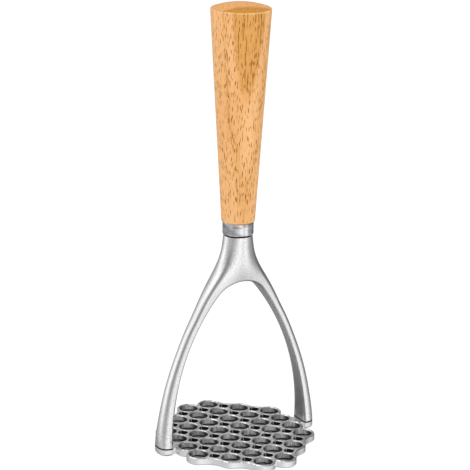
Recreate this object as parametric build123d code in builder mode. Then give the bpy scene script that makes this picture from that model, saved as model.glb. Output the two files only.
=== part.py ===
from build123d import *
from math import cos, radians, sin, sqrt, tan
import os

# Potato masher: a turned wooden handle on a cast two-armed fork, with a round grid plate below.
# Millimetres, +Z up along the handle. The origin is the middle of the plate's flat underside,
# the fork's two arms stand along X, and the front is -Y.

# Grid plate: rings with their holes, so many in each row from the back row to the front row
column_pitch = 12.5
row_pitch = 11.75
rings_per_row = (2, 4, 6, 6, 6, 6, 4, 2)
ring_diameter = 12.6
hole_diameter = 9.9
plate_thickness = 3.8
gap_tip_radius = 1.6
edge_web_width = 1.8
edge_crease_fillet = 0.5
plate_edge_soft = 0.4

# Fork: two arms that spread from a round neck down to two feet
fork_rise = 109.2
neck_diameter = 15.2
foot_outer_spread = 92.8
foot_thickness = 6.8
foot_depth = 12.4
waist_depth = 7.0
crotch_depth = 23.9
arch_apex_radius = 16.0
arch_edge_fillet = 1.2
foot_edge_soft = 0.25
neck_crown_angle = 30.0
arm_crown_angle = 3.0

# Lugs: the bosses of the plate that carry the feet
lug_bridge_width = 8.0
bridge_fillet = 0.8
lug_corner_radius = 1.2
lug_under_fillet = 1.2
lug_seam_soft = 0.25

# Foot screws: countersunk, driven from below into blind bores in the feet
screw_diameter = 3.0
screw_head_diameter = 5.4
screw_head_angle = 90.0
screw_length = 12.0
screw_sink = 0.2
screw_socket_width = 2.0
screw_socket_depth = 1.0
screw_tip_chamfer = 0.3

# Washer, ferrule and the wooden handle
washer_thickness = 0.8
washer_inset = 0.9
ferrule_diameter = 16.1
ferrule_height = 6.7
ferrule_wall = 1.2
ferrule_edge_soft = 0.35
handle_length = 110.0
handle_shoulder_diameter = 17.3
handle_rim_diameter = 31.0
handle_dome_rise = 2.8
handle_rim_fillet = 1.0
handle_shoulder_fillet = 0.5

# Stud and insert that hold the handle down on the neck
stud_diameter = 6.0
stud_in_neck = 12.0
stud_in_insert = 14.0
stud_end_chamfer = 0.8
insert_diameter = 8.5
insert_length = 15.0
insert_end_chamfer = 0.6

# Clearances between the pieces that fit, the room left below a blind bore, and the cuts' overrun
thread_clearance = 0.05
slip_clearance = 0.1
bore_spare = 1.5
overrun = 10.0

# Heights of the seams, from the underside of the plate upwards
foot_level = plate_thickness
neck_level = foot_level + fork_rise
arch_level = neck_level - crotch_depth
ferrule_level = neck_level + washer_thickness
shoulder_level = ferrule_level + ferrule_height
rim_level = shoulder_level + handle_length

# Places across the fork
neck_radius = neck_diameter / 2
foot_outer_x = foot_outer_spread / 2
foot_inner_x = foot_outer_x - foot_thickness
foot_middle_x = (foot_outer_x + foot_inner_x) / 2


# Section of the fork at any level, of which the feet and the lugs below them have the outermost one
cap_length_share = 0.75
cap_fullness_share = 0.66


def blend(start, end, share):
    """The value that lies so far from the start towards the end."""
    return start + (end - start) * share


def fork_section(spread_share, foot_share, neck_share):
    """Level section: two slightly crowned flanks, front and back, closed by a soft cap at each end."""
    neck_turn = radians(neck_crown_angle)
    arm_depth = blend(waist_depth, foot_depth, foot_share) / 2
    arm_cap = arm_depth * cap_length_share
    neck_handle = neck_radius * 4 / 3 * tan((radians(90) - neck_turn) / 4)
    half_breadth = blend(neck_radius, foot_outer_x, spread_share)
    flank_y = blend(arm_depth, neck_radius * cos(neck_turn), neck_share)
    cap_length = blend(arm_cap, neck_radius * (1 - sin(neck_turn)), neck_share)
    end_handle = blend(arm_depth * cap_fullness_share, neck_handle, neck_share)
    corner_handle = blend(arm_cap * cap_fullness_share, neck_handle, neck_share)
    turn = radians(blend(arm_crown_angle, neck_crown_angle, neck_share**2))
    flank_x = half_breadth - cap_length
    crown_y = flank_y + flank_x * tan(turn / 2)
    handle_x = flank_x + corner_handle * cos(turn)
    handle_y = flank_y - corner_handle * sin(turn)
    ThreePointArc((-flank_x, flank_y), (0, crown_y), (flank_x, flank_y))
    Bezier((flank_x, flank_y), (handle_x, handle_y), (half_breadth, end_handle), (half_breadth, 0))
    Bezier((half_breadth, 0), (half_breadth, -end_handle), (handle_x, -handle_y), (flank_x, -flank_y))
    ThreePointArc((flank_x, -flank_y), (0, -crown_y), (-flank_x, -flank_y))
    Bezier((-flank_x, -flank_y), (-handle_x, -handle_y), (-half_breadth, -end_handle), (-half_breadth, 0))
    Bezier((-half_breadth, 0), (-half_breadth, end_handle), (-handle_x, handle_y), (-flank_x, flank_y))


# Lugs: the two bosses of the plate that the feet stand on, with the feet's own outline
with BuildPart() as lugs:
    with BuildSketch():
        with BuildLine():
            fork_section(1, 1, 0)
        make_face()
        Rectangle(2 * foot_inner_x, 2 * foot_depth, mode=Mode.SUBTRACT)
    extrude(amount=plate_thickness)
    inner_corners = lugs.edges().filter_by(Axis.Z).filter_by(lambda edge: abs(edge.center().X) < foot_middle_x)
    fillet(inner_corners, lug_corner_radius)
    fillet(lugs.faces().filter_by(Axis.Z).sort_by(Axis.Z)[:2].edges(), lug_under_fillet)
    chamfer(lugs.faces().filter_by(Axis.Z).sort_by(Axis.Z)[-2:].edges(), lug_seam_soft)


# Cell: the web between four rings, with the gap in its middle, whose four tips are rounded
ring_radius = ring_diameter / 2

with BuildSketch() as gap:
    Rectangle(column_pitch, row_pitch)
    with GridLocations(column_pitch, row_pitch, 2, 2):
        Circle(ring_radius, mode=Mode.SUBTRACT)
    fillet(gap.vertices(), gap_tip_radius)

with BuildSketch() as cell:
    Rectangle(column_pitch, row_pitch)
    add(gap.sketch, mode=Mode.SUBTRACT)


# Edge web: it closes a gap at the plate's edge that has only three rings round it. Its outer edge is
# a hollow arc that runs smoothly into the rings at both of its ends.
inner_ring = Vector(-column_pitch / 2, -row_pitch / 2)
upper_ring = Vector(-column_pitch / 2, row_pitch / 2)
lower_ring = Vector(column_pitch / 2, -row_pitch / 2)
outward = Vector(row_pitch, column_pitch).normalized()
half_diagonal = inner_ring.length
web_reach = half_diagonal - ring_radius + edge_web_width
web_hollow = ring_radius - web_reach
web_arc_middle = outward * ((half_diagonal**2 - web_hollow**2) / 2 / web_hollow)
upper_touch = upper_ring + (web_arc_middle - upper_ring).normalized() * ring_radius
lower_touch = lower_ring + (web_arc_middle - lower_ring).normalized() * ring_radius

with BuildSketch() as edge_web:
    with BuildLine():
        ThreePointArc(upper_touch, outward * web_reach, lower_touch)
        Polyline(lower_touch, lower_ring, inner_ring, upper_ring, upper_touch)
    make_face()
    add(gap.sketch, mode=Mode.SUBTRACT)

row_ys = [((len(rings_per_row) - 1) / 2 - row) * row_pitch for row in range(len(rings_per_row))]
row_pairs = list(zip(row_ys, rings_per_row, rings_per_row[1:]))

with BuildSketch() as edge_webs:
    for row_y, rings, next_rings in row_pairs:
        if next_rings > rings:
            with Locations((rings / 2 * column_pitch, row_y - row_pitch / 2)):
                add(edge_web.sketch)
    mirror(about=Plane.YZ)
    mirror(about=Plane.XZ)


# Masher plate: rings and webs, bridges that run out under the two lugs, and the holes. The lugs'
# countersunk holes take the foot screws.
outer_ring_x = (max(rings_per_row) - 1) / 2 * column_pitch
bridge_length = foot_middle_x - outer_ring_x
bridge_corner_x = outer_ring_x + sqrt(ring_radius**2 - (row_pitch / 2 - lug_bridge_width / 2) ** 2)
row_crease_x = outer_ring_x + sqrt(ring_radius**2 - (row_pitch / 2) ** 2)
end_crease_y = row_ys[0] + sqrt(ring_radius**2 - (column_pitch / 2) ** 2)
screw_hole_radius = screw_diameter / 2 + slip_clearance
head_seat_radius = screw_head_diameter / 2 + screw_sink + slip_clearance

with BuildPart() as masher_plate:
    with BuildSketch() as grid:
        for row_y, rings in zip(row_ys, rings_per_row):
            with Locations((0, row_y)):
                with GridLocations(column_pitch, row_pitch, rings, 1):
                    Circle(ring_radius)
        for row_y, rings, next_rings in row_pairs:
            with Locations((0, row_y - row_pitch / 2)):
                with GridLocations(column_pitch, row_pitch, min(rings, next_rings) - 1, 1):
                    add(cell.sketch)
        add(edge_webs.sketch)
        with GridLocations(foot_middle_x + outer_ring_x, row_pitch, 2, 1):
            Rectangle(bridge_length, lug_bridge_width)
        with GridLocations(2 * bridge_corner_x, lug_bridge_width, 2, 2) as bridge_corners:
            corners = [grid.vertices().sort_by_distance(place.position)[0] for place in bridge_corners]
        fillet(corners, bridge_fillet)
        with GridLocations(2 * row_crease_x, 2 * row_pitch, 2, 2) as side_creases:
            corners = [grid.vertices().sort_by_distance(place.position)[0] for place in side_creases]
        with GridLocations(column_pitch, 2 * end_crease_y, 1, 2) as end_creases:
            corners += [grid.vertices().sort_by_distance(place.position)[0] for place in end_creases]
        fillet(corners, edge_crease_fillet)
        for row_y, rings in zip(row_ys, rings_per_row):
            with Locations((0, row_y)):
                with GridLocations(column_pitch, row_pitch, rings, 1):
                    Circle(hole_diameter / 2, mode=Mode.SUBTRACT)
    extrude(amount=plate_thickness)
    plate_faces = masher_plate.faces().sort_by(Axis.Z)
    chamfer(plate_faces[0].edges() + plate_faces[-1].edges(), plate_edge_soft)
    add(lugs.part)
    with Locations(Plane.XY.rotated((180, 0, 0))):
        with GridLocations(2 * foot_middle_x, foot_depth, 2, 1):
            CounterSinkHole(screw_hole_radius, head_seat_radius, counter_sink_angle=screw_head_angle)
masher_plate.part.label = "masher_plate"


# Fork: its outer form is lofted through level sections, from the feet to the round neck. Each row
# gives how high the section lies, how far it spreads beyond the neck, and how much of the foot's
# and of the neck's form it has. Between the two it has the slim form of the arms' waist.
section_shares = (
    (0.000, 1.000, 1.00, 0.00),
    (0.114, 0.964, 0.63, 0.00),
    (0.229, 0.900, 0.35, 0.00),
    (0.343, 0.810, 0.15, 0.00),
    (0.458, 0.689, 0.04, 0.00),
    (0.572, 0.546, 0.00, 0.06),
    (0.687, 0.378, 0.00, 0.25),
    (0.778, 0.233, 0.00, 0.54),
    (0.858, 0.100, 0.00, 0.80),
    (0.927, 0.029, 0.00, 0.93),
    (1.000, 0.000, 0.00, 1.00),
)
# The opening between the arms: two long side arcs, upright at the feet, that run into the apex arc
apex_middle_z = arch_level - arch_apex_radius
apex_rise = apex_middle_z - foot_level
side_radius = (foot_inner_x**2 + apex_rise**2 - arch_apex_radius**2) / 2 / (foot_inner_x - arch_apex_radius)
side_middle_x = foot_inner_x - side_radius
arcs_apart = side_radius - arch_apex_radius
meet_x = -side_middle_x / arcs_apart * arch_apex_radius
meet_z = apex_middle_z + apex_rise / arcs_apart * arch_apex_radius
screw_tip_level = screw_sink + screw_length
screw_bore_depth = screw_tip_level + bore_spare - foot_level

with BuildPart() as fork:
    for height_share, spread_share, foot_share, neck_share in section_shares:
        with BuildSketch(Plane.XY.offset(foot_level + height_share * fork_rise)):
            with BuildLine():
                fork_section(spread_share, foot_share, neck_share)
            make_face()
    loft()
    with BuildSketch(Plane.XZ):
        with BuildLine():
            apex = ThreePointArc((-meet_x, meet_z), (0, arch_level), (meet_x, meet_z))
            side = TangentArc((meet_x, meet_z), (foot_inner_x, foot_level), tangent=apex % 1)
            Polyline(
                (foot_inner_x, foot_level),
                (foot_inner_x, -overrun),
                (-foot_inner_x, -overrun),
                (-foot_inner_x, foot_level),
            )
            mirror(side, about=Plane.YZ)
        make_face()
    extrude(amount=foot_depth, both=True, mode=Mode.SUBTRACT)
    cut_edges = fork.edges(Select.LAST).filter_by(lambda edge: edge.center().Z > foot_level + foot_depth)
    fillet(cut_edges.filter_by(lambda edge: abs(edge.center().Y) > arch_edge_fillet), arch_edge_fillet)
    chamfer(fork.faces().sort_by(Axis.Z)[:2].edges(), foot_edge_soft)
    with Locations(Plane.XY.offset(neck_level)):
        Hole(stud_diameter / 2 + thread_clearance, depth=stud_in_neck + bore_spare)
    with Locations(Plane.XY.offset(foot_level).rotated((180, 0, 0))):
        with GridLocations(2 * foot_middle_x, foot_depth, 2, 1):
            Hole(screw_diameter / 2 + thread_clearance, depth=screw_bore_depth)
fork.part.label = "fork"


# Foot screws: a countersunk head with a six-sided socket, and a plain shank that stands for the thread
head_height = (screw_head_diameter - screw_diameter) / 2 / tan(radians(screw_head_angle / 2))


def foot_screw(middle_x):
    """One foot screw, upright, with its head just inside the plate's underside."""
    with BuildPart(Plane((middle_x, 0, screw_sink))) as screw:
        Cylinder(screw_diameter / 2, screw_length, align=(Align.CENTER, Align.CENTER, Align.MIN))
        Cone(
            screw_head_diameter / 2,
            screw_diameter / 2,
            head_height,
            align=(Align.CENTER, Align.CENTER, Align.MIN),
        )
        with BuildSketch():
            RegularPolygon(screw_socket_width / 2, 6, major_radius=False)
        extrude(amount=screw_socket_depth, mode=Mode.SUBTRACT)
        chamfer(screw.faces().sort_by(Axis.Z)[-1].edges(), screw_tip_chamfer)
    return screw.part


foot_screw_left = foot_screw(-foot_middle_x)
foot_screw_left.label = "foot_screw_left"
foot_screw_right = foot_screw(foot_middle_x)
foot_screw_right.label = "foot_screw_right"


# Seal washer: a thin ring, set in a little from the neck, that shows as the dark line
stud_hole_radius = stud_diameter / 2 + slip_clearance
with BuildPart() as seal_washer:
    with BuildSketch(Plane.XY.offset(neck_level)):
        Circle(neck_radius - washer_inset)
        Circle(stud_hole_radius, mode=Mode.SUBTRACT)
    extrude(amount=washer_thickness)
seal_washer.part.label = "seal_washer"


# Ferrule: a drawn cup that holds the handle's tenon, with a hole in its floor for the stud
ferrule_bore_radius = ferrule_diameter / 2 - ferrule_wall
with BuildPart() as ferrule:
    with BuildSketch(Plane.XY.offset(ferrule_level)):
        Circle(ferrule_diameter / 2)
        Circle(stud_hole_radius, mode=Mode.SUBTRACT)
    extrude(amount=ferrule_height)
    with BuildSketch(Plane.XY.offset(ferrule_level + ferrule_wall)):
        Circle(ferrule_bore_radius)
    extrude(amount=ferrule_height, mode=Mode.SUBTRACT)
    rims = ferrule.edges().filter_by(GeomType.CIRCLE).group_by(SortBy.RADIUS)[-1]
    fillet(rims, ferrule_edge_soft)
ferrule.part.label = "ferrule"


# Handle: turned wood, a plain taper with a low dome on top, a tenon below and a stepped blind bore
# that holds the insert and clears the stud's end
tenon_radius = ferrule_bore_radius - slip_clearance
tenon_level = ferrule_level + ferrule_wall + slip_clearance
shoulder_radius = handle_shoulder_diameter / 2
rim_radius = handle_rim_diameter / 2
insert_bore_radius = insert_diameter / 2 + thread_clearance
insert_bore_depth = insert_length + bore_spare

with BuildPart() as handle:
    with BuildSketch(Plane.XZ) as profile:
        with BuildLine():
            Polyline(
                (0, rim_level + handle_dome_rise),
                (0, tenon_level),
                (tenon_radius, tenon_level),
                (tenon_radius, shoulder_level),
                (shoulder_radius, shoulder_level),
                (rim_radius, rim_level),
            )
            TangentArc((0, rim_level + handle_dome_rise), (rim_radius, rim_level), tangent=(1, 0))
        make_face()
        fillet(profile.vertices().sort_by_distance((rim_radius, rim_level))[0], handle_rim_fillet)
        shoulder_corner = profile.vertices().sort_by_distance((shoulder_radius, shoulder_level))[0]
        fillet(shoulder_corner, handle_shoulder_fillet)
    revolve(axis=Axis.Z)
    with Locations(Plane.XY.offset(tenon_level).rotated((180, 0, 0))):
        Hole(insert_bore_radius, depth=insert_bore_depth)
handle.part.label = "handle"


# Insert: a threaded sleeve in the handle's bore, its lower end level with the tenon
with BuildPart() as handle_insert:
    with BuildSketch(Plane.XY.offset(tenon_level)):
        Circle(insert_diameter / 2)
        Circle(stud_diameter / 2 + thread_clearance, mode=Mode.SUBTRACT)
    extrude(amount=insert_length)
    outer_circles = handle_insert.edges().filter_by(GeomType.CIRCLE).group_by(SortBy.RADIUS)[-1]
    chamfer(outer_circles, insert_end_chamfer)
handle_insert.part.label = "handle_insert"


# Stud: it joins the neck and the insert, through the washer and the ferrule's floor
stud_foot_level = neck_level - stud_in_neck
stud_top_level = tenon_level + stud_in_insert
with BuildPart() as handle_stud:
    with BuildSketch(Plane.XY.offset(stud_foot_level)):
        Circle(stud_diameter / 2)
    extrude(amount=stud_top_level - stud_foot_level)
    chamfer(handle_stud.edges().filter_by(GeomType.CIRCLE), stud_end_chamfer)
handle_stud.part.label = "handle_stud"

os.makedirs("parts", exist_ok=True)
export_step(masher_plate.part, "parts/masher_plate.step")
export_step(fork.part, "parts/fork.step")
export_step(foot_screw_left, "parts/foot_screw_left.step")
export_step(foot_screw_right, "parts/foot_screw_right.step")
export_step(seal_washer.part, "parts/seal_washer.step")
export_step(ferrule.part, "parts/ferrule.step")
export_step(handle.part, "parts/handle.step")
export_step(handle_insert.part, "parts/handle_insert.step")
export_step(handle_stud.part, "parts/handle_stud.step")
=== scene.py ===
# %% [markdown]
# # A potato masher, dressed for its picture
#
# The masher was drawn as solids first: a turned wooden handle with a threaded insert and a stud inside
# it, a polished ferrule, a thin dark washer, a cast fork, a cast plate of rings, and a screw below each
# foot. Their shapes are complete, so no piece is modelled again here. This script gives them their
# finishes, their light and a camera. Everything is in metres, with +Z up along the handle, the plate's
# underside on the floor and the front towards -Y. Finishes are laid out in millimetres.

# %% Load the solids
from math import cos, radians, sin

import bmesh
import bpy
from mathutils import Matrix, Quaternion, Vector


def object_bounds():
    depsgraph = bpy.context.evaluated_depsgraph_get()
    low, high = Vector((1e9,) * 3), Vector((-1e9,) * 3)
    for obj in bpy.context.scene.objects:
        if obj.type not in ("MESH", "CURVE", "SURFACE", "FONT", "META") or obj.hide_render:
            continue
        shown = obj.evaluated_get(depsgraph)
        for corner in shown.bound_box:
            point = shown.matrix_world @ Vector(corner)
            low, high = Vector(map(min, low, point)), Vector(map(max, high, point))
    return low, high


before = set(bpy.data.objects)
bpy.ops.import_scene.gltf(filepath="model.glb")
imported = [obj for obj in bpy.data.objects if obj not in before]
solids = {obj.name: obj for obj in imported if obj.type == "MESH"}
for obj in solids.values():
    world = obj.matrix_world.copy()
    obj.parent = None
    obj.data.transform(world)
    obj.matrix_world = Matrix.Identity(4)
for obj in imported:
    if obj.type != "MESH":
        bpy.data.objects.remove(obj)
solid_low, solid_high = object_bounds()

print("solids:", ", ".join(sorted(solids)))
print("size in mm:", [round((high - low) * 1000, 1) for low, high in zip(solid_low, solid_high)])

# %% [markdown]
# ## The camera
#
# A camera can be turned by hand, but aiming it at a point is easier to repeat: `to_track_quat` gives
# the turn that looks along a line. A long lens from nearly a metre away keeps the handle's sides almost
# parallel, as in a product picture. The camera looks down a little from the front left, and is rolled
# by under one degree about its own line of sight.

# %% Camera
camera_spot = Vector((-0.4588, -0.8161, 0.3894))
aim = Vector((-0.0013, 0.0007, 0.1126))
roll = radians(0.81)

long_lens = bpy.data.cameras.new("camera")
long_lens.sensor_width = 36
long_lens.lens = 145.2
camera = bpy.data.objects.new("camera", long_lens)
camera.location = camera_spot
level_turn = (aim - camera_spot).to_track_quat("-Z", "Y")
camera.rotation_euler = (level_turn @ Quaternion((0, 0, 1), roll)).to_euler()
bpy.context.scene.collection.objects.link(camera)
bpy.context.scene.camera = camera
print("from the camera to its aim in m:", round((aim - camera_spot).length, 3))

# %% [markdown]
# ## Finishes as sums
#
# A finish in Blender is a tree of shader nodes. It can be wired by hand, node by node, but then a mask
# such as `1 - grain * 0.5` takes a dozen lines. `Signal` wraps one output of the tree, and its
# operators add the Math nodes, so that a mask is written as the plain sum that it is.

# %% Signal
class Signal:
    """One output of a node tree, which can be used in sums."""

    def __init__(self, tree, socket):
        self.tree = tree
        self.socket = socket

    def __add__(self, other):
        return self.tree.math("ADD", self, other)

    def __radd__(self, other):
        return self.tree.math("ADD", other, self)

    def __sub__(self, other):
        return self.tree.math("SUBTRACT", self, other)

    def __rsub__(self, other):
        return self.tree.math("SUBTRACT", other, self)

    def __mul__(self, other):
        return self.tree.math("MULTIPLY", self, other)

    def __rmul__(self, other):
        return self.tree.math("MULTIPLY", other, self)

    def __truediv__(self, other):
        return self.tree.math("DIVIDE", self, other)

    def __rtruediv__(self, other):
        return self.tree.math("DIVIDE", other, self)

    def __pow__(self, other):
        return self.tree.math("POWER", self, other)

    def __rpow__(self, other):
        return self.tree.math("POWER", other, self)

    def __abs__(self):
        return self.tree.math("ABSOLUTE", self)


operators = [name for name, value in vars(Signal).items() if callable(value) and name != "__init__"]
print("operators of a signal:", ", ".join(name.strip("_") for name in operators))

# %% [markdown]
# ## One method for every other node
#
# `Tree.add` makes any node from its type, its settings, and the values or signals of its sockets. The
# methods below it are short names for the nodes that these finishes use again and again: a smooth
# step, a mix of two colours, noise, and noise that is drawn out along one direction. A Map Range node
# could also be a Color Ramp, but its two ends are plain numbers that can be read in the code.

# %% Tree
class Tree:
    """A node tree that is filled by calls."""

    def __init__(self, node_tree):
        self.nodes = node_tree.nodes
        self.links = node_tree.links
        self.nodes.clear()

    def add(self, kind, settings=None, inputs=None, output=0):
        """A node of a kind, as a signal of one of its outputs."""
        node = self.nodes.new("ShaderNode" + kind)
        for name, value in (settings or {}).items():
            setattr(node, name, value)
        for name, value in (inputs or {}).items():
            if isinstance(value, Signal):
                self.links.new(value.socket, node.inputs[name])
            else:
                node.inputs[name].default_value = value
        return Signal(self, node.outputs[output] if len(node.outputs) else None)

    def math(self, operation, *values):
        return self.add("Math", {"operation": operation}, dict(enumerate(values)))

    def step(self, value, low, high):
        """0 below low, 1 above high, and a smooth slope between."""
        ends = {"Value": value, "From Min": low, "From Max": high}
        return self.add("MapRange", {"interpolation_type": "SMOOTHSTEP"}, ends)

    def fade(self, value, low, high):
        """1 below low, 0 above high, and a smooth slope between."""
        return 1 - self.step(value, low, high)

    def under(self, value, limit):
        """1 where the value is under the limit, with a hard edge."""
        return self.math("LESS_THAN", value, limit)

    def either(self, first, *others):
        """The largest of several masks."""
        for other in others:
            first = self.math("MAXIMUM", first, other)
        return first

    def mix(self, share, first, second):
        """A colour that goes from the first to the second. A Mix node keeps its colours in 6 and 7."""
        first, second = [c if isinstance(c, Signal) else (*c, 1) for c in (first, second)]
        return self.add("Mix", {"data_type": "RGBA"}, {0: share, 6: first, 7: second}, output=2)

    def noise(self, place, scale, detail=2, rough=0.5):
        """Soft noise from 0 to 1. A scale of 1000 makes spots of about a millimetre."""
        inputs = {"Vector": place, "Scale": scale, "Detail": detail, "Roughness": rough}
        return self.add("TexNoise", {}, inputs)

    def drawn(self, place, fineness, turn=(0, 0, 0)):
        """The place with a fineness for each axis. A pattern is drawn out where it is less fine."""
        return self.add("Mapping", {}, {"Vector": place, "Scale": fineness, "Rotation": turn})

    def drawn_noise(self, place, fineness, detail=2):
        return self.noise(self.drawn(place, fineness), 1, detail)

    def along(self, vector, axis):
        """One part of a vector, such as how far a place lies along Z."""
        return self.add("SeparateXYZ", {}, {0: vector}, output="XYZ".index(axis))

    def bump(self, height, strength, distance):
        inputs = {"Height": height, "Strength": strength, "Distance": distance}
        return self.add("Bump", {}, inputs)


print("methods of a tree:", ", ".join(name for name in vars(Tree) if not name.startswith("_")))

# %% [markdown]
# ## Starting and closing a finish
#
# Every finish here ends in one Principled shader. The patterns are placed by Object coordinates, which
# are metres in the frame of the solid, so that they stay on the piece however it is lit or seen.

# %% Finishes
def new_finish(name):
    """A material with an empty tree, and the place on the piece that its patterns follow."""
    material = bpy.data.materials.new(name)
    material.use_nodes = True
    tree = Tree(material.node_tree)
    return material, tree, tree.add("TexCoord", output="Object")


def close_finish(tree, **inputs):
    """The Principled shader and the output. Names with a space are written with an underscore."""
    named = {name.replace("_", " "): value for name, value in inputs.items()}
    shader = tree.add("BsdfPrincipled", {}, named)
    tree.add("OutputMaterial", {}, {"Surface": shader})


def dress(material, *names):
    """Gives solids their finish and leaves their meshes alone."""
    for name in names:
        solids[name].data.materials.clear()
        solids[name].data.materials.append(material)
    print(material.name, "with", len(material.node_tree.nodes), "nodes, on", ", ".join(names))


def grey(level, blue=0.01):
    """A neutral tone. Bare metal is a touch bluer than that."""
    return level, level, level + blue


print("bright metal is written as", [round(part, 2) for part in grey(0.97)])

# %% [markdown]
# ## The wood of the handle: its growth layers
#
# The handle is turned from one block of hardwood. A picture of wood could be wrapped round it, but a
# pattern that fills space is truer: the lathe cuts through layers that run through the whole block.
# One dense, dark layer lies as a slab on the front side, so the taper cuts it into a band that fades
# out further down. A fainter layer lies behind it. A slow noise makes both of them wander. A pair such
# as `dense_from` holds the two ends of a smooth step, here and below, mostly in millimetres.

# %% Growth layers
wood, tree, place = new_finish("oiled_wood")
height = tree.along(place, "Z") * 1000

block_turn = (0, 0, radians(10))
wander_reach = 3
dense_from = (12.2, 13.2)
faint_from, faint_to = (7.6, 8.8), (9.6, 10.8)

toward_front = tree.along(tree.drawn(place, (1, 1, 1), block_turn), "Y") * -1000
wander = tree.drawn_noise(place, (70, 70, 10), detail=3)
layer = toward_front + (wander - 0.5) * wander_reach
dense = tree.step(layer, *dense_from)
faint = tree.step(layer, *faint_from) * tree.fade(layer, *faint_to)
print("growth layers take", len(tree.nodes), "nodes")

# %% [markdown]
# ## The pores
#
# Cut vessels show as short dark dashes that run up the handle. A cell pattern gives scattered points,
# and drawing it out along Z turns the points into dashes. A slight lean keeps them from looking ruled.
# The dense layer has long, broken streaks in the place of single dashes.

# %% Pores
dash_softness = 0.06


def vessels(fineness, lean, size):
    """Dark dashes up the grain: a drawn out cell pattern, kept near its points."""
    leaning = tree.drawn(place, fineness, (0, radians(lean), 0))
    inputs = {"Vector": leaning, "Scale": 1.0}
    from_point = tree.add("TexVoronoi", {}, inputs, output="Distance")
    return tree.fade(from_point - size, -dash_softness, dash_softness)


depth = tree.step(tree.noise(place, 420, 1), 0.35, 0.6)
pores = vessels((1450, 1450, 205), 8, 0.31 + faint * 0.04) * (0.4 + depth * 0.6)
fine_pores = vessels((2100, 2100, 330), 5, 0.30)
breaks = tree.step(tree.drawn_noise(place, (900, 900, 230)), 0.40, 0.50)
streaks = vessels((1100, 1100, 22), 1, 0.34 + dense * 0.06) * breaks * (dense + faint * 0.6)
print("pores bring it to", len(tree.nodes), "nodes")

# %% [markdown]
# ## The colour of the wood
#
# Oil deepens the colour most where the wood is dense or open. So the colour starts pale, in soft bands,
# and each layer, fibre and streak darkens it by its own share.

# %% Wood along the grain
pale_wood = (0.94, 0.525, 0.23)
honey_wood = (0.88, 0.46, 0.18)
dense_wood = (0.72, 0.335, 0.07)
fibre_wood = (0.76, 0.39, 0.13)
fine_pore_wood = (0.52, 0.25, 0.07)
streak_wood = (0.36, 0.155, 0.012)

soft_bands = tree.drawn_noise(place, (170, 170, 14), detail=3)
fibres = tree.drawn_noise(place, (2600, 2600, 110))
ground = tree.mix(tree.step(soft_bands, 0.3, 0.7), pale_wood, honey_wood)
ground = tree.mix(dense * 0.85 + faint * 0.3, ground, dense_wood)
ground = tree.mix(tree.step(fibres, 0.35, 0.75) * 0.3, ground, fibre_wood)
ground = tree.mix(fine_pores * 0.35, ground, fine_pore_wood)
ground = tree.mix(streaks * 0.85, ground, streak_wood)
print("the grain brings it to", len(tree.nodes), "nodes")

# %% [markdown]
# ## The end of the handle
#
# The domed end shows end grain, which drinks more oil than the sides and turns darker, most of all
# where the dense layers come out at the front. The corner below it is made paler. Both follow the
# height on the handle, because the turning is the same all the way round.

# %% End grain and rim
end_wood = (0.82, 0.37, 0.09)
dense_end_wood = (0.58, 0.25, 0.02)
pore_wood = (0.29, 0.088, 0.001)
rim_pale_wood = (0.95, 0.60, 0.30)

dome_from = (230.2, 230.7)
dark_end_from = (7.2, 10.2)
rim_from, rim_to = (229.4, 229.9), (230.2, 230.5)

end_grain = tree.step(height, *dome_from)
ground = tree.mix(end_grain * 0.7, ground, end_wood)
ground = tree.mix(end_grain * tree.step(layer, *dark_end_from) * 0.95, ground, dense_end_wood)
# a paler band along the rounded corner below the dome
pale_rim_band = tree.step(height, *rim_from) * tree.fade(height, *rim_to)
wood_colour = tree.mix(pores * 0.95, ground, pore_wood)
wood_colour = tree.mix(pale_rim_band * 0.45, wood_colour, rim_pale_wood)

close_finish(
    tree,
    Base_Color=wood_colour,
    Roughness=0.42 + pores * 0.25,
    Specular_IOR_Level=0.3,
    Normal=tree.bump(1 - pores, strength=0.18, distance=0.0002),
)
dress(wood, "handle")

# %% [markdown]
# ## The ferrule
#
# A collar of drawn steel, polished on a wheel while it turns, so its finest scratches run round it.
# The noise is squeezed along Z to give them. A polished collar mirrors whatever is around it, so soft
# patches of painted reflection in its tone break up the even studio, and also vary its roughness.

# %% Polished steel
polished, tree, place = new_finish("polished_steel")
scratches = tree.drawn_noise(place, (40, 40, 9000), detail=3)
reflections_and_smears = tree.drawn_noise(place, (160, 160, 420))
close_finish(
    tree,
    # painted reflection: darker and lighter patches in the tone; the same noise varies the roughness
    Base_Color=tree.mix(tree.step(reflections_and_smears, 0.36, 0.56), grey(0.42, 0.02), grey(0.74)),
    Metallic=1.0,
    Roughness=0.05 + reflections_and_smears * 0.08,
    Normal=tree.bump(scratches, strength=0.05, distance=0.0001),
)
dress(polished, "ferrule")

# %% [markdown]
# ## The washer
#
# A thin, nearly black ring in the joint draws the dark line there. It is dull, with a dusty bloom, so one
# fine noise drives both its tone and its roughness.

# %% Dark ring
dark_ring_finish, tree, place = new_finish("nearly_black_ring")
bloom = tree.noise(place, 2500, 3)
close_finish(
    tree,
    # nearly black, so that the ring draws the dark line at the joint
    Base_Color=tree.mix(bloom, grey(0.012, 0), grey(0.04, 0)),
    Roughness=0.6 + bloom * 0.2,
)
dress(dark_ring_finish, "seal_washer")

# %% [markdown]
# ## Painted light and shade on the fork
#
# The fork is cast and blasted with fine beads. Its front, back and outer sides are painted bright as
# lit faces, and the inner faces of the arms are painted dark as shade, most of all near the feet.
# Faces can be told apart by their normal: the part of it that points away from the middle is -1 on an
# inner face. An inner face is painted brighter towards its edges, as light that reaches round the corner.

# %% Painted light and shade
satin, tree, place = new_finish("satin_casting")
height = tree.along(place, "Z") * 1000

lit_outward_from = (-0.62, -0.12)
foot_half_depth, waist_half_depth = 6.2, 3.5
foot_to_waist = (4, 60)
edge_light_reach = (0.6, 3.4)

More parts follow.
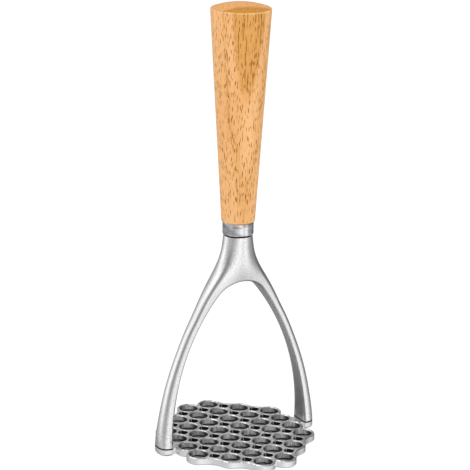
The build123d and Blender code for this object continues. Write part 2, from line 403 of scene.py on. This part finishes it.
side = tree.math("SIGN", tree.along(place, "X"))
outward = tree.along(tree.add("TexCoord", output="Normal"), "X") * side
outer_face = tree.step(outward, *lit_outward_from)
slimmer = tree.step(height, *foot_to_waist) * (foot_half_depth - waist_half_depth)
from_edge = foot_half_depth - slimmer - abs(tree.along(place, "Y")) * 1000
lit_near_edge = tree.fade(from_edge, *edge_light_reach)
# 1 where the fork is painted as lit, 0 where an inner face is painted as shade
painted_lit_share = 1 - (1 - outer_face) * (1 - lit_near_edge * 0.75)
print("the rubbing takes", len(tree.nodes), "nodes")

# %% [markdown]
# ## The skin of the fork
#
# Blasting leaves a very fine sandy skin. A noise of about half a millimetre gives it, once as bump and
# once as tone, because bump alone is lost where the light is even. The skin painted as shade is darkest
# near the feet. The fork stands on the lugs of the plate, and a fine dark line of painted shade lies in
# the groove of the joint round the feet.

# %% Satin casting
foot_shade_to = (5, 70)
seam_shade_to = (4.1, 4.3)
ragged_edge = 0.9

sand = tree.noise(place, 1700, 4, 0.7)
clouds = tree.noise(place, 140, 3)
# painted light: a bright skin for the faces painted as lit
lit_skin = tree.mix(tree.step(sand, 0.36, 0.64), grey(0.76), grey(0.97, 0))
# painted shade: darkest at the feet and paler up the arms
shaded_skin = tree.mix(tree.step(height, *foot_shade_to), grey(0.38), grey(0.88))
skin = tree.mix(painted_lit_share + (sand - 0.5) * ragged_edge, shaded_skin, lit_skin)
# painted shade: a fine dark line in the groove where the feet meet the lugs
foot_seam_shade = tree.fade(height, *seam_shade_to)
close_finish(
    tree,
    Base_Color=tree.mix(foot_seam_shade, skin, grey(0.03, 0)),
    Metallic=1.0,
    Roughness=0.35 + clouds * 0.06 - outer_face * 0.18,
    Normal=tree.bump(sand, strength=0.36, distance=0.00015),
)
dress(satin, "fork")

# %% [markdown]
# ## The grid of the plate
#
# The plate is one casting of 36 rings that touch each other, and food is pressed through the rings and
# the gaps between them. Its finish has to know the walls of the holes from the top, and a repeating
# sum does that for all the holes at once: WRAP starts again at every ring, so the distance from one
# ring's middle is the distance from any ring's. Rows near the front and back are shorter, so the
# plate's outline is a few blocks of the grid laid over each other.

# %% Grid of rings
column_pitch = 12.5
row_pitch = 11.75
ring_blocks = ((37.5, 23.5), (25.0, 35.25), (12.5, 47.5))
gap_blocks = ((31.25, 29.4), (18.75, 41.1))


class RingGrid:
    """Where a place lies among the plate's rings. Every distance is in mm."""

    def __init__(self, tree, place):
        self.tree = tree
        self.x = tree.along(place, "X") * 1000
        self.y = tree.along(place, "Y") * 1000
        self.across = self.beside(self.x, column_pitch)
        self.deep = self.beside(self.y, row_pitch)
        self.from_ring = self.reach(self.across, self.deep)
        self.beside_gap = column_pitch / 2 - abs(self.across)
        self.from_gap = self.reach(self.beside_gap, row_pitch / 2 - abs(self.deep))

    def beside(self, along, pitch):
        """How far a place lies beside the middle of its ring, with its sign."""
        return self.tree.math("WRAP", along, pitch, 0.0) - pitch / 2

    def reach(self, first, second):
        return self.tree.math("SQRT", first * first + second * second)

    def within(self, blocks):
        """1 in any of the blocks, each of which reaches so far to both sides in X and Y."""
        under = self.tree.under
        masks = [under(abs(self.x), x_reach) * under(abs(self.y), y_reach) for x_reach, y_reach in blocks]
        return self.tree.either(*masks)


print("blocks of rings:", len(ring_blocks), "and of gaps:", len(gap_blocks))

# %% [markdown]
# ## The top of the plate
#
# The plate is the same metal as the fork, but comes from a tumbler, so its top is pitted and patchy.
# One noise gives the pits as bump, and a coarser one gives the patches as tone. The plate's outer side,
# below the rounded edge of the top, is painted even and pale, as a side that catches the light.

# %% Tumbled skin
tumbled, tree, place = new_finish("tumbled_casting")
grid = RingGrid(tree, place)
height = tree.along(place, "Z") * 1000

lit_side_to = (3.0, 3.4)
pits = tree.noise(place, 1500, 4)
patches = tree.noise(place, 620, 3, 0.6)
skin = tree.mix(tree.step(patches, 0.34, 0.66), grey(0.46), grey(0.92))
# painted light: the outer side below the top is pale and even
skin = tree.mix(tree.fade(height, *lit_side_to), skin, grey(0.98, 0))
print("the skin takes", len(tree.nodes), "nodes")

# %% [markdown]
# ## The walls of the holes
#
# A hole's wall is painted as lit and shaded. It is painted light, in stripes, where it faces the front
# and the back, and painted dark as shade at both sides and along its foot. The share of the wall that
# faces front or back is a sum of the two signed distances from the ring's middle, divided by their reach.

# %% Hole walls
hole_radius, wall_top, foot_shade_top = (5.0, 5.3), (3.2, 3.45), (0.8, 1.2)
lit_across, lit_deep = 0.36, 0.93
lit_width = (0.62, 0.98)
shaded_wall, lit_wall, wall_foot_shade = grey(0.06, 0), grey(0.78, 0), grey(0.01, 0)

in_ring = tree.fade(grid.from_ring, *hole_radius) * tree.fade(height, *wall_top)
hole_wall = in_ring * grid.within(ring_blocks)
facing = (grid.across * lit_across + grid.deep * lit_deep) / grid.from_ring
stripes = tree.step(tree.noise(tree.drawn(place, (1, 1, 0.25)), 900), 0.35, 0.65)
# painted light where the wall faces front or back, painted shade at its sides
wall_light = tree.step(abs(facing), *lit_width) * (0.50 + stripes * 0.50)
skin = tree.mix(hole_wall, skin, tree.mix(wall_light, shaded_wall, lit_wall))
# painted shade along the foot of the wall
skin = tree.mix(hole_wall * tree.fade(height, *foot_shade_top), skin, wall_foot_shade)
print("the walls bring it to", len(tree.nodes), "nodes")

# %% [markdown]
# ## The gaps and the seams
#
# The four-cornered gaps between the rings are painted nearly black as shade, with one painted highlight
# along the crease where two rings meet. A dark line of painted shade round each lug, just under its top,
# is the other half of the seam below the fork's feet.

# %% Tumbled casting
gap_radius, gap_top, crease_highlight_width = (3.0, 3.3), (3.5, 3.72), (0.12, 0.4)
between_lugs = ((39.4, 50.0),)
lug_seam_shade_from = (3.35, 3.5)
gap_shade_black, crease_highlight_grey, seam_shade_black = grey(0.02, 0), grey(0.55, 0), grey(0.03, 0)

in_gap = tree.fade(grid.from_gap, *gap_radius) * tree.fade(height, *gap_top)
gap_wall = in_gap * grid.within(gap_blocks)
# painted shade in the gaps, and a painted highlight along the crease where two rings meet
crease_highlight_band = tree.fade(grid.beside_gap, *crease_highlight_width)
skin = tree.mix(gap_wall, skin, tree.mix(crease_highlight_band, gap_shade_black, crease_highlight_grey))
# painted shade: a dark line round each lug, just under its top
lug_seam_shade = tree.step(height, *lug_seam_shade_from) * (1 - grid.within(between_lugs))
skin = tree.mix(lug_seam_shade, skin, seam_shade_black)
close_finish(
    tree,
    Base_Color=skin,
    Metallic=1 - hole_wall * 0.65 - gap_wall * 0.5,
    Roughness=0.30 + pits * 0.16,
    Normal=tree.bump(pits, strength=0.45, distance=0.00025),
)
dress(tumbled, "masher_plate")

# %% [markdown]
# ## Screws, stud and insert
#
# None of them shows in the picture, since the screws go in from below the plate, and the stud and the
# insert sit inside the handle. They still get a plain finish each, for a view of the masher taken
# apart: bright steel with a little wear, and turned brass with the fine rings that the lathe leaves.

# %% Fasteners
bright, tree, place = new_finish("bright_steel")
wear = tree.noise(place, 1500, 3)
close_finish(
    tree,
    Base_Color=tree.mix(wear, grey(0.55), grey(0.68)),
    Metallic=1.0,
    Roughness=0.25 + wear * 0.2,
)
dress(bright, "foot_screw_left", "foot_screw_right", "handle_stud")

turned_brass, tree, place = new_finish("turned_brass")
turning = tree.drawn_noise(place, (50, 50, 6000))
close_finish(
    tree,
    Base_Color=tree.mix(turning, (0.60, 0.40, 0.13), (0.72, 0.50, 0.20)),
    Metallic=1.0,
    Roughness=0.25 + turning * 0.2,
)
dress(turned_brass, "handle_insert")

# %% [markdown]
# ## The floor
#
# The masher stands on a sheet of white paper. A plane of six metres is large enough that its edge is
# never seen. It lies a tenth of a millimetre below the plate, because two faces at the same height
# would mix into specks.

# %% Paper sheet
sheet_reach = 3
sheet_drop = 0.0001

sheet = bmesh.new()
bmesh.ops.create_grid(sheet, x_segments=1, y_segments=1, size=sheet_reach)
bmesh.ops.translate(sheet, verts=sheet.verts, vec=(0, 0, solid_low.z - sheet_drop))
paper_mesh = bpy.data.meshes.new("paper_floor")
sheet.to_mesh(paper_mesh)
sheet.free()
floor = bpy.data.objects.new("paper_floor", paper_mesh)
bpy.context.scene.collection.objects.link(floor)
print("paper sheet:", 2 * sheet_reach, "m wide")

# %% [markdown]
# ## The paper's finish
#
# Paper that is lit well enough to look white would throw too much light up at the masher. So the paper
# has two looks, and Light Path tells which ray asks: the camera sees a faint glow that lifts it to
# white and still shows a soft shadow, and the masher is lit by plain paper. The metal looks through it
# into the tent that is made below. Where the paper is seen through the holes, a darker paper is painted
# as the shadow of the plate, in the shape of the rings and gaps.

# %% White paper
paper, tree, place = new_finish("white_paper")


def matt(level):
    return tree.add("BsdfDiffuse", {}, {"Color": (*grey(level, 0), 1)})


def choose(share, first, second):
    return tree.add("MixShader", {}, {0: share, 1: first, 2: second})


plain_paper, lifted_paper, paper_glow, shaded_paper = 0.8, 0.3, 0.78, 0.22
ring_shade_radius, gap_shade_radius = 5.5, 3.4

seen = tree.add("LightPath", output="Is Camera Ray")
mirrored = tree.add("LightPath", output="Is Glossy Ray")
glow = tree.add("Emission", {}, {"Color": (1, 1, 1, 1), "Strength": paper_glow})
lifted = tree.add("AddShader", {}, {0: matt(lifted_paper), 1: glow})
open_floor = choose(mirrored, choose(seen, matt(plain_paper), lifted), tree.add("BsdfTransparent"))

grid = RingGrid(tree, place)
# painted shadow: a darker paper where it is seen through the rings and gaps
ring_shade = tree.under(grid.from_ring, ring_shade_radius) * grid.within(ring_blocks)
gap_shade = tree.under(grid.from_gap, gap_shade_radius) * grid.within(gap_blocks)
shaded = tree.either(ring_shade, gap_shade)
tree.add("OutputMaterial", {}, {"Surface": choose(shaded, open_floor, matt(shaded_paper))})
paper_mesh.materials.append(paper)
print("white paper with", len(tree.nodes), "nodes")

# %% [markdown]
# ## What the metal mirrors
#
# Metal has no colour of its own to show: it shows the room. A studio for metal is a pale tent with a
# few brighter panels in it, and the darker tent between two panels draws the dark line along an arm.
# The tent could be built from lamps and sheets, but here the world plays it, which has no noise and no
# edges in the picture. A panel is a soft round patch about one direction, given by its turn from the
# front (to the right is positive) and its rise above level, in degrees, then its tightness and its
# strength. One panel to the back left is cut off low down, so that it shows in the leaning arms and
# hardly in upright faces.

# %% Panels
world = bpy.data.worlds.new("studio_tent")
bpy.context.scene.world = world
world.use_nodes = True
tree = Tree(world.node_tree)
toward = tree.add("TexCoord", output="Generated")


def panel(turn, rise, tightness, strength):
    """One soft panel. The tighter it is, the smaller the patch that it lights."""
    turn, rise = radians(turn), radians(rise)
    middle = Vector((sin(turn) * cos(rise), -cos(turn) * cos(rise), sin(rise)))
    inputs = {0: toward, 1: middle}
    facing = tree.add("VectorMath", {"operation": "DOT_PRODUCT"}, inputs, output="Value")
    return tree.math("MAXIMUM", facing, 0.0) ** tightness * strength


even_tent = 0.15
panels = (
    (-1, -19, 10, 0.97),
    (-39, -35, 24, 0.56),
    (38, -13, 25, 0.82),
    (-36, 1, 18, 0.36),
    (-87, -33, 4, 0.60),
    (75, -37, 8, 0.56),
    (-106, 51, 7, 1.50),
    (150, 24, 6, 0.50),
    (20, 80, 4, 0.45),
    (180, -20, 6, 0.26),
)
cut_panel = (-133, 2, 11, 0.90)
cut_from = (-0.36, -0.20)

tent = even_tent
for soft_panel in panels:
    tent = panel(*soft_panel) + tent
tent = panel(*cut_panel) * tree.step(tree.along(toward, "Z"), *cut_from) + tent
print("panels:", len(panels) + 1)

# %% [markdown]
# ## The tent as a world
#
# A power above one deepens the dark parts of the tent and leaves its bright ones, which gives the metal
# its contrast. Only mirrored rays see that tent. Everything else is lit by a plain world of one
# strength, so that the wood keeps its written colour, and the camera sees white behind the masher.

# %% Studio tent
plain_level = 0.86
contrast, gain = 1.3, 1.06

tent = tent ** contrast * gain
for_camera = tree.add("LightPath", output="Is Camera Ray")
for_mirror = tree.add("LightPath", output="Is Glossy Ray")
strength = plain_level + for_camera * (1 - plain_level) + for_mirror * (tent - plain_level)
background = tree.add("Background", {}, {"Color": (1, 1, 1, 1), "Strength": strength})
tree.add("OutputWorld", {}, {"Surface": background})
print("studio tent with", len(tree.nodes), "nodes")

# %% [markdown]
# ## The lamps
#
# Two softboxes to the front left and right give the wood its shading and the floor its soft shadow.
# They are weak, since the world lights nearly everything, and the metal doesn't mirror them, because
# their square edges would show in it.

# %% Lamps
softbox_width = 0.7
lit_spot = Vector((0, 0, 0.1))
for name, spot, power in (
    ("left_softbox", (-0.9, -0.5, 0.9), 4.0),
    ("right_softbox", (0.7, -0.8, 0.8), 3.1),
):
    light = bpy.data.lights.new(name, "AREA")
    light.size = softbox_width
    light.energy = power
    lamp = bpy.data.objects.new(name, light)
    lamp.location = spot
    lamp.rotation_euler = (lit_spot - Vector(spot)).to_track_quat("-Z", "Y").to_euler()
    lamp.visible_glossy = False
    bpy.context.scene.collection.objects.link(lamp)
    print(name, "of", power, "W")

# %% [markdown]
# ## Colours as they are written
#
# Blender's usual view softens bright colours, as film does. Standard shows each colour as it is, which
# suits an object in front of white.

# %% View
bpy.context.scene.view_settings.view_transform = "Standard"
print("view:", bpy.context.scene.view_settings.view_transform)

# %% [markdown]
